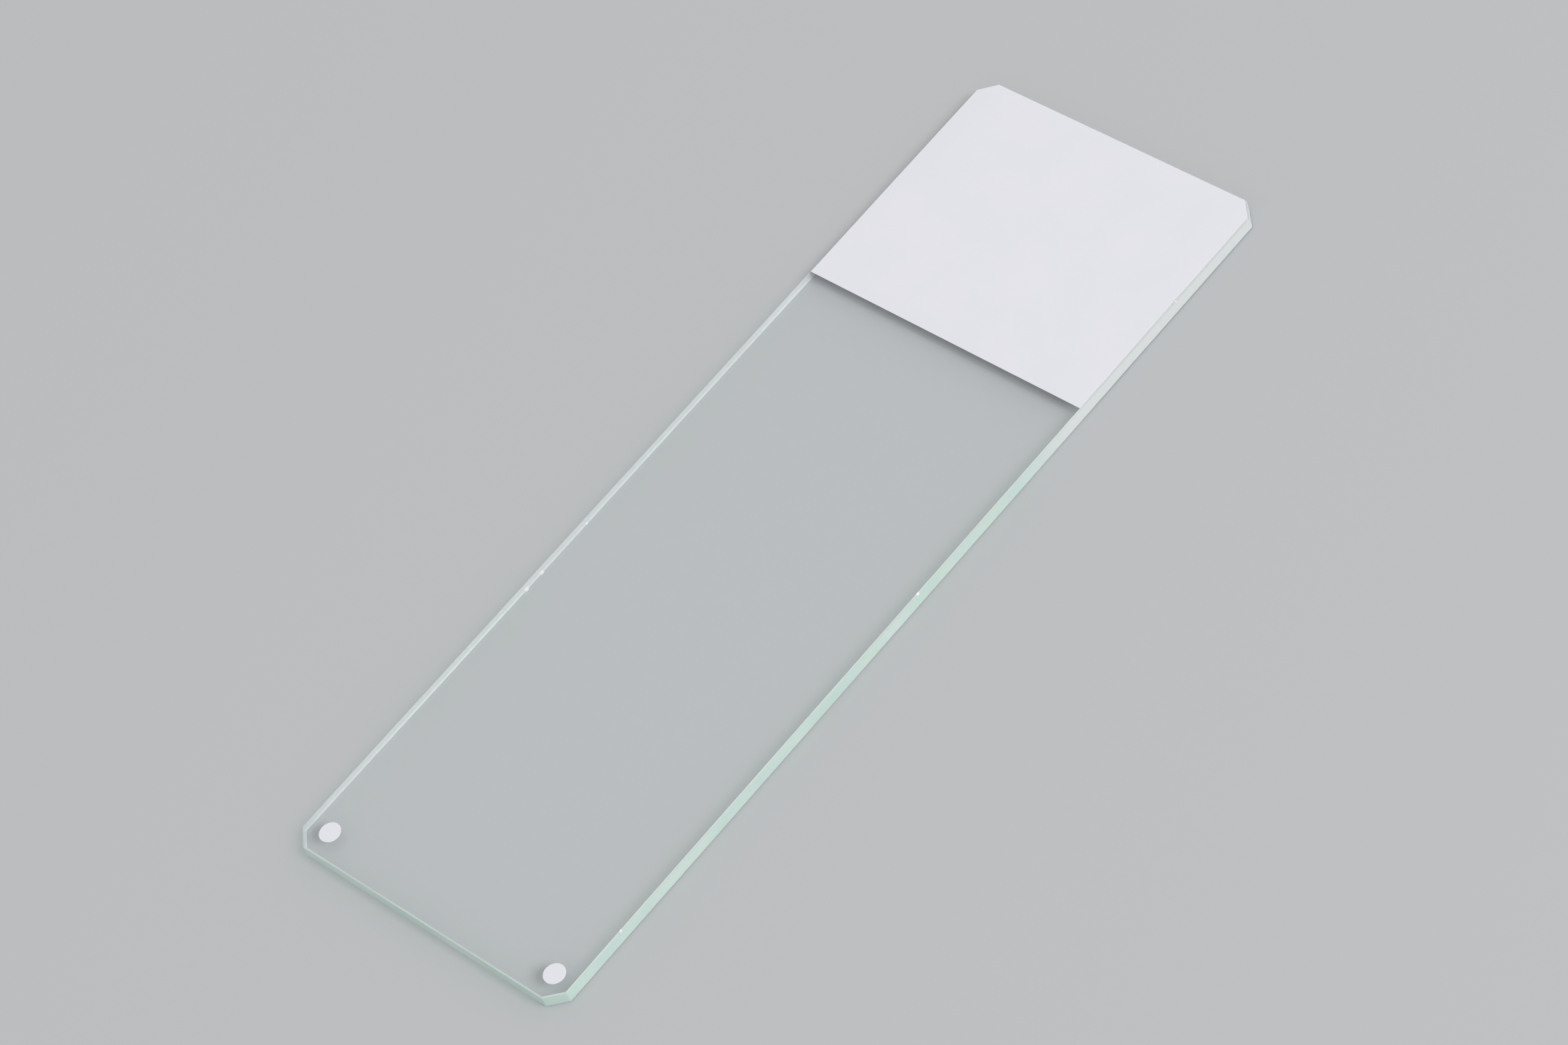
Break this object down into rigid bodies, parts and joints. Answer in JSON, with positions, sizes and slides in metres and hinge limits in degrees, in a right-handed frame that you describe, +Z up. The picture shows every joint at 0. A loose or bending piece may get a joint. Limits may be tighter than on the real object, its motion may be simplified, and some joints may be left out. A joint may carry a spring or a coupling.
{
  "type": "microscope slide",
  "caption": "Thin clear glass plate with ground edges and clipped corners, a white printed area to write on over one end and round white printed dots at the other.",
  "frame": {"origin": "middle of the underside, which the slide rests on", "axes": "+X along the slide towards the printed label area, +Y across it, +Z up out of the printed face"},
  "size_m": [0.075, 0.025, 0.0011],
  "materials": {
    "glass": "polished faces, ground edges",
    "white_ink": "matte screen print"
  },
  "bodies": {
    "root": {"glass_plate": "glass", "label_coat": "white_ink", "corner_dot_left": "white_ink", "corner_dot_right": "white_ink"}
  },
  "joints": []
}
